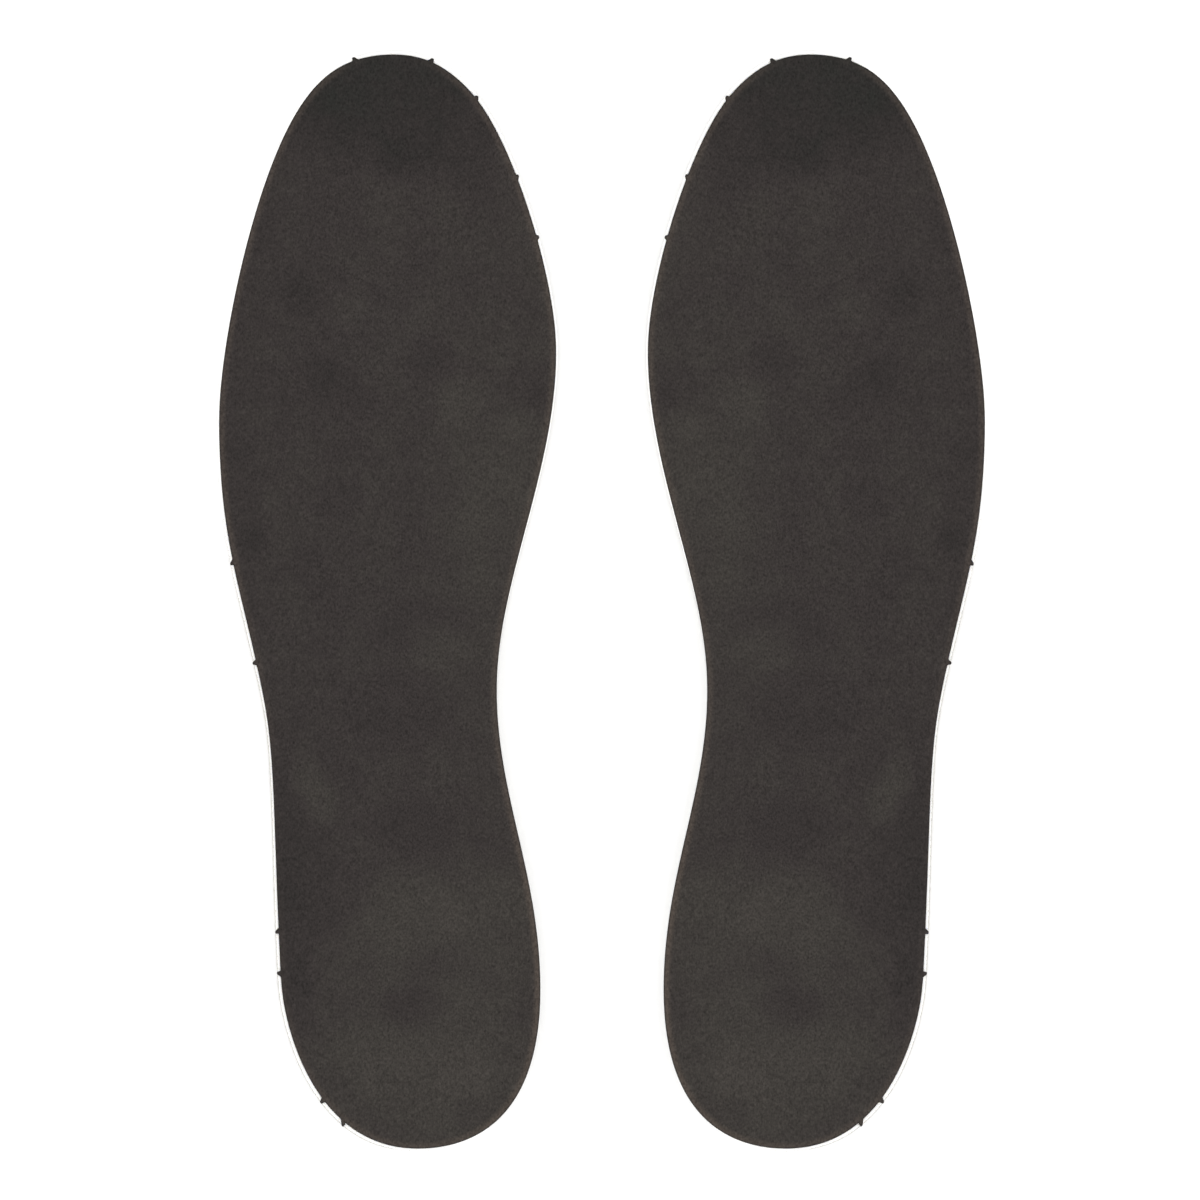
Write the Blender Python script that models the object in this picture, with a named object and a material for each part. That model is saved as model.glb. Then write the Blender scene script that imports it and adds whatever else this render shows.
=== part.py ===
"""A pair of cushioned insoles, lying side by side on a flat surface with their toes along +Y.

Each insole is a laminate of six pieces. From the floor up they are a thin base sheet, a bed of foam
with a heel pad, an arch pad and a forefoot pad let into its underside, and a top cover of napped
fabric. The glue film between two pieces is left as a gap. The cover is laid on the bed with a slight
twist and a little towards the inner side, so that the pale foam shows as a thin rim beside the outer
waist, the outer heel and the inner toe.

The design is drawn for the left insole: "across" grows towards the inner side of the foot, where the
big toe and the arch are, and "along" grows from the heel end to the toe tip. The right insole is its
mirror image. Lengths are in metres and +Z is up.
"""

from collections import namedtuple
from math import atan2, ceil, cos, hypot, pi, radians, sin

import bmesh
import bpy
from mathutils import Matrix, Vector
from mathutils.geometry import interpolate_bezier

# Driving dimensions of the plan, measured on the top cover.
LENGTH = 0.270
BALL_BREADTH = 0.0832
WAIST_BREADTH = 0.0574
HEEL_BREADTH = 0.0640
TOE_BREADTH = 0.0418

# How far the middle of each breadth lies inwards of the middle of the ball.
TOE_TIP_INWARD = 0.0022
TOE_INWARD = 0.0005
WAIST_INWARD = -0.0018
HEEL_INWARD = 0.0057
HEEL_END_INWARD = 0.0072

# Stations along the insole as shares of its length, so that they keep their place when it is graded.
INNER_TOE_AT = 0.962
OUTER_TOE_AT = 0.959
INNER_BALL_AT = 0.729
OUTER_BALL_AT = 0.667
INNER_WAIST_AT = 0.420
OUTER_WAIST_AT = 0.410
INNER_HEEL_AT = 0.145
OUTER_HEEL_AT = 0.153
HEEL_PAD_AT = 0.156
FOREFOOT_PAD_AT = 0.698

# The sandwich.
BASE_THICKNESS = 0.0008
FOAM_THICKNESS = 0.0036
COVER_THICKNESS = 0.0008
GLUE_GAP = 0.0003
EDGE_ROUND = 0.0002
FOAM_MARGIN = 0.00035
FOAM_END_MARGIN = 0.0005
COVER_TWIST = radians(0.3)
COVER_SHIFT = 0.0003

# Relief of the upper side: the arch is raised along the inner edge and the heel is dished.
ARCH_RISE = 0.0016
ARCH_REACH_ALONG = 0.055
ARCH_REACH_ACROSS = 0.034
HEEL_DISH = 0.0006
HEEL_DISH_REACH = 0.028

# The pads in the underside of the foam bed. Each has foam of a set thickness over it as the roof of
# its pocket, and foam of a set breadth beside it up to the outline.
HEEL_PAD_LENGTH = 0.068
HEEL_PAD_ROOF = 0.0005
HEEL_PAD_BESIDE = 0.010
FOREFOOT_PAD_LENGTH = 0.042
FOREFOOT_PAD_ROOF = 0.0017
FOREFOOT_PAD_BESIDE = 0.0116
ARCH_PAD_LENGTH = 0.044
ARCH_PAD_BREADTH = 0.023
ARCH_PAD_CROWN = 0.0014
ARCH_PAD_ROOF = 0.0009
ARCH_PAD_BESIDE = 0.0050

# The pair.
PAIR_GAP = 0.0225

# Resolution of the meshes.
OUTLINE_POINTS = 108
CURVE_STEPS = 40
RELIEF_GRID = 0.012
GRID_TOLERANCE = 1e-7
PAD_POINTS = 40
PAD_RINGS = 4
SQUARENESS = 2.4
CUTTER_OVERSHOOT = 0.001

BASE_TOP = BASE_THICKNESS
FOAM_BOTTOM = BASE_TOP + GLUE_GAP
FOAM_TOP = FOAM_BOTTOM + FOAM_THICKNESS
COVER_BOTTOM = FOAM_TOP + GLUE_GAP
COVER_TOP = COVER_BOTTOM + COVER_THICKNESS

Landmark = namedtuple("Landmark", "across along heading full_before full_after")
Pad = namedtuple("Pad", "name across along turn length breadth rim crown")
Finish = namedtuple("Finish", "name red green blue roughness")

COVER_FINISH = Finish("charcoal_napped_microfibre", 0.047, 0.041, 0.039, 0.95)
FOAM_FINISH = Finish("natural_latex_foam", 0.80, 0.77, 0.69, 0.85)
PAD_FINISH = Finish("grey_cushion_rubber", 0.23, 0.25, 0.27, 0.60)
BASE_FINISH = Finish("light_grey_fleece", 0.58, 0.57, 0.54, 0.95)


def clear_scene():
    for thing in list(bpy.data.objects):
        bpy.data.objects.remove(thing)


def landmarks():
    """The points that shape the outline, clockwise from the toe tip, with the heading of the curve in
    degrees and the length of its two handles as shares of the way to the neighbouring landmarks."""
    ball = BALL_BREADTH / 2
    waist = WAIST_BREADTH / 2
    heel = HEEL_BREADTH / 2
    toe = TOE_BREADTH / 2
    return [
        Landmark(TOE_TIP_INWARD, LENGTH, 0, 0.41, 0.37),
        Landmark(TOE_INWARD + toe, INNER_TOE_AT * LENGTH, -50, 0.36, 0.23),
        Landmark(ball, INNER_BALL_AT * LENGTH, -90, 0.26, 0.35),
        Landmark(WAIST_INWARD + waist, INNER_WAIST_AT * LENGTH, -90, 0.31, 0.35),
        Landmark(HEEL_INWARD + heel, INNER_HEEL_AT * LENGTH, -90, 0.38, 0.55),
        Landmark(HEEL_END_INWARD, 0, 180, 0.37, 0.47),
        Landmark(HEEL_INWARD - heel, OUTER_HEEL_AT * LENGTH, 93, 0.22, 0.55),
        Landmark(WAIST_INWARD - waist, OUTER_WAIST_AT * LENGTH, 101, 0.22, 0.40),
        Landmark(-ball, OUTER_BALL_AT * LENGTH, 90, 0.44, 0.21),
        Landmark(TOE_INWARD - toe, OUTER_TOE_AT * LENGTH, 54, 0.26, 0.40),
    ]


def heading_vector(landmark):
    return Vector((cos(radians(landmark.heading)), sin(radians(landmark.heading))))


def evenly_spaced(points, count):
    """The closed line through the points again, with count points at equal distances along it."""
    ends = points[1:] + points[:1]
    lengths = [(end - start).length for start, end in zip(points, ends)]
    step = sum(lengths) / count
    spaced = []
    walked = 0.0
    for start, end, length in zip(points, ends, lengths):
        while len(spaced) < count and len(spaced) * step <= walked + length:
            spaced.append(start.lerp(end, (len(spaced) * step - walked) / length))
        walked += length
    return spaced


def cover_outline():
    """The outline of the top cover, as points in order round it."""
    marks = landmarks()
    points = []
    for here, there in zip(marks, marks[1:] + marks[:1]):
        start = Vector((here.across, here.along))
        end = Vector((there.across, there.along))
        chord = (end - start).length
        handle_out = start + heading_vector(here) * here.full_after * chord
        handle_in = end - heading_vector(there) * there.full_before * chord
        segment = interpolate_bezier(start, handle_out, handle_in, end, CURVE_STEPS + 1)
        points += [point.to_2d() for point in segment[:-1]]
    return evenly_spaced(points, OUTLINE_POINTS)


def foam_outline():
    """The outline of the foam bed and base sheet: the cover's, grown by the margins, then turned and
    moved back by the twist and the shift that the cover was laid with."""
    plain = cover_outline()
    middle = Vector((0, LENGTH / 2))
    shift = Vector((COVER_SHIFT, 0))
    turn = Matrix.Rotation(-COVER_TWIST, 2)
    grown = []
    for before, point, after in zip(plain[-1:] + plain[:-1], plain, plain[1:] + plain[:1]):
        run = (after - before).normalized()
        outwards = Vector((-run.y, run.x))
        lengthwise = Vector((0, outwards.y * FOAM_END_MARGIN))
        moved = point + outwards * FOAM_MARGIN + lengthwise
        grown.append(middle + turn @ (moved - middle) - shift)
    return grown


def hump(distance):
    """A smooth hump that is 1 at 0 and falls to 0 at a distance of 1."""
    return 0.5 + 0.5 * cos(pi * min(1.0, distance))


def relief(across, along):
    """How far the upper side stands above its level under the toes."""
    arch_across = (WAIST_INWARD + WAIST_BREADTH / 2 - across) / ARCH_REACH_ACROSS
    arch_along = (along - INNER_WAIST_AT * LENGTH) / ARCH_REACH_ALONG
    heel_away = hypot(across - HEEL_INWARD, along - HEEL_PAD_AT * LENGTH) / HEEL_DISH_REACH
    arch = ARCH_RISE * hump(abs(arch_along)) * hump(max(0.0, arch_across))
    return arch - HEEL_DISH * hump(heel_away)


def gridded_face(mesh, outline):
    """Fills the outline and cuts the face into a grid that is fine enough to carry the relief."""
    mesh.faces.new([mesh.verts.new((point.x, point.y, 0)) for point in outline])
    reach = max(max(abs(point.x) for point in outline), max(point.y for point in outline))
    lines = ceil(reach / RELIEF_GRID)
    for normal in (Vector((0, 1, 0)), Vector((1, 0, 0))):
        for line in range(-lines, lines + 1):
            everything = mesh.verts[:] + mesh.edges[:] + mesh.faces[:]
            bmesh.ops.bisect_plane(
                mesh,
                geom=everything,
                dist=GRID_TOLERANCE,
                plane_co=normal * line * RELIEF_GRID,
                plane_no=normal,
            )


def extruded(mesh, upper, lower):
    """Gives the flat face in the mesh a wall and an underside. upper and lower say how high each side
    lies at a place."""
    bmesh.ops.recalc_face_normals(mesh, faces=mesh.faces[:])
    if mesh.faces[0].normal.z < 0:
        bmesh.ops.reverse_faces(mesh, faces=mesh.faces[:])
    top = mesh.verts[:]
    made = bmesh.ops.extrude_face_region(mesh, geom=mesh.faces[:], use_keep_orig=True)
    bottom = [item for item in made["geom"] if isinstance(item, bmesh.types.BMVert)]
    for vert in top:
        vert.co.z = upper(vert.co.x, vert.co.y)
    for vert in bottom:
        vert.co.z = lower(vert.co.x, vert.co.y)
    bmesh.ops.recalc_face_normals(mesh, faces=mesh.faces[:])


def level(height):
    return lambda across, along: height


def following_relief(height):
    return lambda across, along: height + relief(across, along)


def cover_mesh():
    mesh = bmesh.new()
    gridded_face(mesh, cover_outline())
    extruded(mesh, following_relief(COVER_TOP), following_relief(COVER_BOTTOM))
    return mesh


def foam_mesh():
    mesh = bmesh.new()
    gridded_face(mesh, foam_outline())
    extruded(mesh, following_relief(FOAM_TOP), level(FOAM_BOTTOM))
    return mesh


def base_mesh():
    mesh = bmesh.new()
    mesh.faces.new([mesh.verts.new((point.x, point.y, 0)) for point in foam_outline()])
    extruded(mesh, level(BASE_TOP), level(0))
    return mesh


def oval(length, breadth):
    """A rounded oval about the origin, as a superellipse."""
    corners = []
    for step in range(PAD_POINTS):
        angle = 2 * pi * step / PAD_POINTS
        across, along = cos(angle), sin(angle)
        reach = (abs(across) ** SQUARENESS + abs(along) ** SQUARENESS) ** (-1 / SQUARENESS)
        corners.append(Vector((across * reach * breadth / 2, along * reach * length / 2)))
    return corners


def pad_mesh(pad, grown=0.0, sunk=0.0):
    """A pad with a flat underside, an upright rim and, where it has a crown, a domed top. Its pocket is
    the same shape, grown on every side and sunk below the foam so that it cuts right through."""
    corners = oval(pad.length + 2 * grown, pad.breadth + 2 * grown)
    rim_height = FOAM_BOTTOM + pad.rim + grown
    mesh = bmesh.new()
    ring = [mesh.verts.new((*corner, FOAM_BOTTOM - sunk)) for corner in corners]
    mesh.faces.new(ring)
    for number in range(PAD_RINGS if pad.crown else 1):
        share = 1 - number / PAD_RINGS
        height = rim_height + pad.crown * (1 - share * share)
        inner = [mesh.verts.new((*(corner * share), height)) for corner in corners]
        for place in range(PAD_POINTS):
            after = (place + 1) % PAD_POINTS
            mesh.faces.new((ring[place], ring[after], inner[after], inner[place]))
        ring = inner
    if pad.crown:
        peak = mesh.verts.new((0, 0, rim_height + pad.crown))
        for place in range(PAD_POINTS):
            mesh.faces.new((ring[place], ring[(place + 1) % PAD_POINTS], peak))
    else:
        mesh.faces.new(ring)
    turn = Matrix.Rotation(pad.turn, 4, "Z")
    mesh.transform(Matrix.Translation((pad.across, pad.along, 0)) @ turn)
    bmesh.ops.recalc_face_normals(mesh, faces=mesh.faces[:])
    return mesh


def pads():
    heel_breadth = HEEL_BREADTH - 2 * HEEL_PAD_BESIDE
    heel_thickness = FOAM_THICKNESS - HEEL_DISH - HEEL_PAD_ROOF - GLUE_GAP
    arch_across = WAIST_INWARD + WAIST_BREADTH / 2 - ARCH_PAD_BESIDE - ARCH_PAD_BREADTH / 2
    arch_rim = FOAM_THICKNESS - ARCH_PAD_ROOF - GLUE_GAP - ARCH_PAD_CROWN
    forefoot_breadth = BALL_BREADTH - 2 * FOREFOOT_PAD_BESIDE
    forefoot_thickness = FOAM_THICKNESS - FOREFOOT_PAD_ROOF - GLUE_GAP
    ball_turn = atan2((INNER_BALL_AT - OUTER_BALL_AT) * LENGTH, BALL_BREADTH)
    return [
        Pad("heel_pad", HEEL_INWARD, HEEL_PAD_AT * LENGTH, 0,
            HEEL_PAD_LENGTH, heel_breadth, heel_thickness, 0),
        Pad("arch_pad", arch_across, INNER_WAIST_AT * LENGTH, 0,
            ARCH_PAD_LENGTH, ARCH_PAD_BREADTH, arch_rim, ARCH_PAD_CROWN),
        Pad("forefoot_pad", 0, FOREFOOT_PAD_AT * LENGTH, ball_turn,
            FOREFOOT_PAD_LENGTH, forefoot_breadth, forefoot_thickness, 0),
    ]


def material(finish):
    found = bpy.data.materials.get(finish.name)
    if found:
        return found
    made = bpy.data.materials.new(finish.name)
    made.use_nodes = True
    shader = made.node_tree.nodes["Principled BSDF"]
    shader.inputs["Base Color"].default_value = (finish.red, finish.green, finish.blue, 1)
    shader.inputs["Roughness"].default_value = finish.roughness
    shader.inputs["Metallic"].default_value = 0
    return made


def add_object(name, mesh, holder, mirrored, finish=None):
    """Puts a mesh in the scene as one object of its insole. The right insole's meshes are mirrored."""
    if mirrored:
        mesh.transform(Matrix.Scale(-1, 4, (1, 0, 0)))
        bmesh.ops.reverse_faces(mesh, faces=mesh.faces[:])
    data = bpy.data.meshes.new(name)
    mesh.to_mesh(data)
    mesh.free()
    thing = bpy.data.objects.new(name, data)
    bpy.context.scene.collection.objects.link(thing)
    thing.parent = holder
    if finish:
        data.materials.append(material(finish))
        data.shade_smooth()
        data.set_sharp_from_angle(angle=radians(35))
    return thing


def round_edges(thing):
    """Breaks the sharp edges, as a cutting die leaves them."""
    bevel = thing.modifiers.new("edge_round", "BEVEL")
    bevel.width = EDGE_ROUND
    bevel.segments = 1
    bevel.limit_method = "ANGLE"
    bevel.angle_limit = radians(60)


def cut_pocket(foam, pocket):
    pocket.hide_render = True
    pocket.display_type = "WIRE"
    cut = foam.modifiers.new(pocket.name, "BOOLEAN")
    cut.operation = "DIFFERENCE"
    cut.object = pocket
    cut.solver = "EXACT"


def build_insole(side, mirrored, place):
    """Makes one insole's six pieces under an empty that stands where the insole lies."""
    holder = bpy.data.objects.new(f"{side}_insole", None)
    holder.location = place
    bpy.context.scene.collection.objects.link(holder)

    base = add_object(f"{side}_base_sheet", base_mesh(), holder, mirrored, BASE_FINISH)
    foam = add_object(f"{side}_foam_bed", foam_mesh(), holder, mirrored, FOAM_FINISH)
    cover = add_object(f"{side}_top_cover", cover_mesh(), holder, mirrored, COVER_FINISH)
    round_edges(base)
    round_edges(cover)
    for pad in pads():
        add_object(f"{side}_{pad.name}", pad_mesh(pad), holder, mirrored, PAD_FINISH)
        pocket_mesh = pad_mesh(pad, grown=GLUE_GAP, sunk=CUTTER_OVERSHOOT)
        cut_pocket(foam, add_object(f"{side}_{pad.name}_pocket", pocket_mesh, holder, mirrored))


def main():
    clear_scene()
    heights = [point.y for point in foam_outline()]
    middle = (min(heights) + max(heights)) / 2
    spread = (PAIR_GAP + BALL_BREADTH) / 2
    build_insole("left", mirrored=False, place=(-spread, -middle, 0))
    build_insole("right", mirrored=True, place=(spread, -middle, 0))


main()
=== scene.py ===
"""A pair of cushioned insoles, finished for viewing on a pale floor under soft studio light.

Each insole is a die-cut laminate. From the floor up it is a thin fleece base sheet with grip dots, a bed
of latex foam with three denser pads let in from below, and a top cover of napped microfibre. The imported
model gives every outline and level. This file gives the fine shapes and the materials.

Foot coordinates are used for both feet alike: across grows from the middle of the ball of the foot
towards its inner side, along grows from the heel end to the toe tip, both in metres. Rings of points seen
from above are complex numbers, x + y * 1j, and run anticlockwise.
"""

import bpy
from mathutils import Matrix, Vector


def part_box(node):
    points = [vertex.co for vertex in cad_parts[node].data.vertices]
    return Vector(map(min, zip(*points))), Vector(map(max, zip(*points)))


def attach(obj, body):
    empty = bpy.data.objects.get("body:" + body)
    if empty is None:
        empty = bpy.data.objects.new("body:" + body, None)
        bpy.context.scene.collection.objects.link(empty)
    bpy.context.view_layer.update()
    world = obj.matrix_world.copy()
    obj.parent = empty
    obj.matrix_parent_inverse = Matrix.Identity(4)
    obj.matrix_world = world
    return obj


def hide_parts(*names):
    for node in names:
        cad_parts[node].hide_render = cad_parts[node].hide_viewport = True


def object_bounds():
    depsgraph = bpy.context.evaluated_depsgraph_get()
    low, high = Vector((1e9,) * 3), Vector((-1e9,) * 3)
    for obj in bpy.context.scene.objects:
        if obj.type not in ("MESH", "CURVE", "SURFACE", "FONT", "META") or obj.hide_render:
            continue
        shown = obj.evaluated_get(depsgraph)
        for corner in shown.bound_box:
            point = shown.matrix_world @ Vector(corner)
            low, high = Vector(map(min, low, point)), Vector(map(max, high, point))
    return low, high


bl_info = {
    "name": "Cushioned Insole Pair",
    "version": (1, 0, 0),
    "blender": (4, 5, 0),
    "location": "3D View > Sidebar > Insoles",
    "description": "Builds the covers, foam beds, pads and base sheets of a pair of insoles",
    "category": "Add Mesh",
}

from collections import namedtuple

import bpy
import numpy as np
from bpy.props import FloatProperty, FloatVectorProperty, IntProperty, PointerProperty

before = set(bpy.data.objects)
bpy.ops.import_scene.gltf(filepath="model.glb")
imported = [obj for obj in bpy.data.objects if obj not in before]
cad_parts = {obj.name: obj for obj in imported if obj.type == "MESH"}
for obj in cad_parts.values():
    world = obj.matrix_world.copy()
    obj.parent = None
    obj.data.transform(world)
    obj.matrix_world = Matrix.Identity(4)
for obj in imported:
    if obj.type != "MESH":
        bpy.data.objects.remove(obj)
CAD_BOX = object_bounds()

MM = 0.001
SIDES = ("left", "right")
PADS = ("heel_pad", "arch_pad", "forefoot_pad")


def linear(hex_colour):
    """The linear red, green and blue of an sRGB hex colour."""
    coded = np.array([int(hex_colour[place : place + 2], 16) for place in (1, 3, 5)]) / 255
    return tuple(np.where(coded <= 0.04045, coded / 12.92, ((coded + 0.055) / 1.055) ** 2.4))


def length(name, description, default):
    """A length property in metres, whose default is given in millimetres."""
    return FloatProperty(
        name=name, description=description, default=default * MM, subtype="DISTANCE", precision=5
    )


def colour(name, description, default):
    """A colour property, whose default is given as sRGB hex."""
    return FloatVectorProperty(
        name=name, description=description, default=linear(default), subtype="COLOR", min=0, max=1
    )


def amount(name, description, default, low=0.0, high=1.0):
    """A plain number property."""
    return FloatProperty(name=name, description=description, default=default, min=low, max=high)


def edge_points(default, low):
    """A property for how many points an edge has."""
    return IntProperty(name="Edge points", description="Points round the edge", default=default, min=low)


# -------------------- settings


class InsoleShape(bpy.types.PropertyGroup):
    """The relief that every layer of both insoles follows."""

    arch_rise: length("Arch rise", "Height of the raised arch at the inner edge", 1.6)
    arch_reach_along: length("Arch length", "How far the arch reaches towards toe and heel", 55)
    arch_reach_across: length("Arch breadth", "How far the arch reaches outwards", 34)
    arch_pad_beside: length("Foam beside arch pad", "Foam between the arch pad and the inner edge", 5)
    heel_dish: length("Heel dish", "Depth of the dished heel", 0.6)
    heel_dish_reach: length("Heel dish radius", "How far the dish reaches from its middle", 28)
    waist_spread: length("Waist spread", "How far foam and base sheet stand out at the outer waist", 0.4)
    waist_spread_reach: length("Waist spread length", "How far the spread reaches either way", 42)
    glue_fill: amount("Glue fill", "Share of half a glue gap that each layer closes", 0.9)


class CoverSettings(bpy.types.PropertyGroup):
    """The napped fabric cover."""

    points: edge_points(900, 200)
    roll_width: length("Rolled edge width", "Breadth of the edge that the die pressed down", 1.2)
    roll_drop: length("Rolled edge drop", "How far the pressed edge drops", 0.42)
    waviness: length("Waviness", "Height of the soft hills that the fabric dried in", 0.035)
    pad_print: length("Pad print", "Height at which the heel and arch pads show through", 0.10)
    nib_width: length("Nib width", "Breadth of an uncut nib", 1.1)
    # Painted highlight on the rolled edge: where it is strongest, how far it fades inwards, and how
    # strongly it shows.
    highlight_at: length("Pressed line", "Distance of the pressed line from the edge", 0.55)
    highlight_width: length("Pressed width", "Distance over which the pressed line fades inwards", 1.6)
    highlight_share: amount("Pressed share", "How strongly the pressed line shows", 0.41)
    # Ramp colours of the nap. The black stop is painted shade for the toe and the pale stop painted light
    # for the heel; the dark and light stops are the nap's own tone together with painted shade and light.
    deepest_painted_shade_nap: colour("Black nap", "Nap worn down to the dyed ground", "#232321")
    dark_nap_and_painted_shade: colour("Dark nap", "Nap brushed away from the light", "#282524")
    middle_nap: colour("Middle nap", "Nap lying flat", "#2E2A29")
    light_nap_and_painted_light: colour("Light nap", "Nap brushed towards the light", "#34312E")
    brightest_painted_light_nap: colour("Pale nap", "Nap brushed right up", "#3B3734")
    # The lighter colour of the painted highlight on the rolled edge.
    edge_highlight_nap: colour("Pressed nap", "Nap pressed by the die", "#49413B")


class FoamSettings(bpy.types.PropertyGroup):
    """The latex foam bed."""

    points: edge_points(640, 100)
    edge_radius: length("Top edge radius", "Rounding of the cut edge at the top", 0.45)
    waist: length("Wall hollow", "How far the cut wall is hollowed", 0.14)
    wall_lean: length("Wall lean", "How far the cut wall leans in at the outer waist and heel", 0.22)
    cell_height: length("Cell height", "Roughness of the cut wall", 0.03)
    latex: colour("Latex", "Colour of the foam's skin", "#F7F6F4")
    # The cut wall's colour, which on the rounded top edge at the outer waist and heel also serves as
    # painted shade.
    cut_latex_and_painted_shade: colour("Cut latex", "Colour of the cut wall", "#BEBDB8")
    pore: colour("Pores", "Colour inside the pores", "#A5A39C")


class PadSettings(bpy.types.PropertyGroup):
    """The denser pads in the foam bed."""

    points: edge_points(160, 24)
    edge_radius: length("Edge radius", "Rounding of the upper edge", 0.4)
    dimple_pitch: length("Dimple pitch", "Distance between moulded dimples", 5)
    dimple_depth: length("Dimple depth", "Depth of a moulded dimple", 0.12)
    rubber: colour("Cushion rubber", "Colour of the pads", "#84898E")


class BaseSettings(bpy.types.PropertyGroup):
    """The base sheet and its grip dots."""

    points: edge_points(640, 100)
    dot_pitch: length("Dot pitch", "Distance between the rows of grip dots", 5)
    dot_radius: length("Dot radius", "Radius of a grip dot", 0.9)
    dot_height: length("Dot height", "How far a grip dot stands out", 0.3)
    dot_margin: length("Dot margin", "Bare fleece along the edge", 4)
    fleece: colour("Fleece", "Colour of the base sheet", "#D9D7D2")
    dots: colour("Dots", "Colour of the grip dots", "#B9BCBE")


class StageSettings(bpy.types.PropertyGroup):
    """The floor, the light and the camera."""

    floor_side: length("Floor side", "Side of the square floor", 6000)
    floor: colour("Floor", "Colour of the floor", "#F6F6F6")
    sky: amount("Sky strength", "Strength of the light from all round", 1.26, 0, 10)
    key_power: amount("Softbox power", "Power of each softbox in watts", 6.0, 0, 500)
    lens: amount("Lens", "Focal length in millimetres", 200.0, 10, 500)
    seen_width: length("Seen width", "Breadth that the camera takes in at the covers", 295.8)
    look_right: length("Look right", "How far right of the middle the camera looks", -0.49)
    look_up: length("Look up", "How far past the middle, towards the toes, the camera looks", 0.40)


# -------------------- rings and outlines

OUTLINE_SAMPLES = 4096
FINEST_WAVE = 46  # in waves round the outline
UPRIGHT = 0.1  # the most that an upright triangle's normal rises
POLE_SHARE = 0.02  # how far out the first row round a middle lies, as a share of the ring
Edge = namedtuple("Edge", "points outward")


def wall_corners(node):
    """The corners of the upright triangles of a CAD solid, as rows of x, y and z."""
    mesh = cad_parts[node].data
    normals = np.empty(len(mesh.polygons) * 3, np.float32)
    mesh.polygons.foreach_get("normal", normals)
    corners = np.empty(len(mesh.loops), np.int32)
    mesh.loops.foreach_get("vertex_index", corners)
    places = np.empty(len(mesh.vertices) * 3, np.float32)
    mesh.vertices.foreach_get("co", places)
    upright = np.abs(normals.reshape(-1, 3)[:, 2]) < UPRIGHT
    return places.reshape(-1, 3)[corners.reshape(-1, 3)[upright].ravel()].astype(float)


def wall_outline(node):
    """The outline of a CAD solid from above, as a dense ring. The corners of its upright walls are put in
    order by their direction from the middle, and waves finer than its facets are faded out, which rounds
    the facets off."""
    wall = wall_corners(node)
    ring = np.unique(np.round(wall[:, 0] + 1j * wall[:, 1], 6))
    ring = ring[np.argsort(np.angle(ring - ring_middle(ring)))]
    waves = np.fft.fft(evenly(ring, OUTLINE_SAMPLES))
    order = np.abs(np.fft.fftfreq(OUTLINE_SAMPLES, 1 / OUTLINE_SAMPLES))
    return np.fft.ifft(waves * np.exp(-((order / FINEST_WAVE) ** 6)))


def ring_middle(ring):
    """The middle of the box round a ring."""
    return (ring.real.min() + ring.real.max()) / 2 + 0.5j * (ring.imag.min() + ring.imag.max())


def walked(ring):
    """The distance walked round a closed ring up to each of its points, and once more at its start."""
    return np.concatenate([[0], np.cumsum(np.abs(np.diff(np.append(ring, ring[0]))))])


def evenly(ring, count):
    """The ring again, with count points at equal distances."""
    along = walked(ring)
    return np.interp(np.linspace(0, along[-1], count, endpoint=False), along, np.append(ring, ring[0]))


def ring_area(ring):
    """The area inside a ring, by the shoelace formula."""
    return 0.5 * np.sum(ring.conj() * np.roll(ring, -1)).imag


def edge_of(ring, count, places=(), reach=2 * MM, crowding=6):
    """An edge of count points with the outward direction at each. The points stand closer together near
    the given places, by a hump of density over each."""
    tangent = np.roll(ring, -1) - np.roll(ring, 1)
    outward = -1j * tangent / np.abs(tangent)
    along = walked(ring)
    density = np.ones(len(ring))
    for place in places:
        away = np.abs(ring - ring[np.argmin(np.abs(ring - place))])
        density += crowding * np.exp(-((away / reach) ** 2))
    total = np.concatenate([[0], np.cumsum(density)])
    at = np.interp(np.linspace(0, total[-1], count, endpoint=False), total, along)
    points = np.interp(at, along, np.append(ring, ring[0]))
    directions = np.interp(at, along, np.append(outward, outward[0]))
    return Edge(points, directions / np.abs(directions))


def inside(ring, points):
    """Which points lie inside a ring, by counting how often a line to the right of each crosses it. A
    level stretch of the ring is never crossed, so any rise but 0 does for it."""
    start, end = ring, np.roll(ring, -1)
    spans = (start.imag > points.imag[:, None]) != (end.imag > points.imag[:, None])
    rise = np.where(end.imag == start.imag, 1, end.imag - start.imag)
    crossing = start.real + (points.imag[:, None] - start.imag) / rise * (end.real - start.real)
    return (spans & (points.real[:, None] < crossing)).sum(1) % 2 == 1


# -------------------- the relief

PAD_SQUARENESS = 2.4  # the power of the superellipse that a pad's outline is


def hump(distance):
    """A smooth hump, half a cosine wave, that is 1 up to 0 and falls to 0 at a distance of 1."""
    return 0.5 + 0.5 * np.cos(np.pi * np.clip(distance, 0, 1))


def foot_place(ring):
    """Across and along, in foot coordinates, of points x + y * 1j of either insole."""
    low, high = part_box("left_top_cover")
    ball_middle = -(low.x + high.x) / 2
    return ball_middle - np.abs(ring.real), ring.imag - low.y


def facing_outwards(edge):
    """How far each point of an edge faces the foot's outer side, from -1 to 1."""
    return edge.outward.real * np.sign(edge.points.real)


def base_outline(side, shape):
    """The outline of the foam bed and the base sheet. Foam relaxes outwards once it is cut, most where
    the outline is straight: at the outer waist a hump moves the outline out."""
    ring = wall_outline(f"{side}_base_sheet")
    edge = edge_of(ring, len(ring))
    middle = foot_place(ring)[1].max() / 2
    away = np.abs(foot_place(edge.points)[1] - middle) / shape.waist_spread_reach
    spread = shape.waist_spread * hump(away) * np.clip(1.5 * facing_outwards(edge), 0, 1)
    return edge.points + edge.outward * spread


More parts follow.
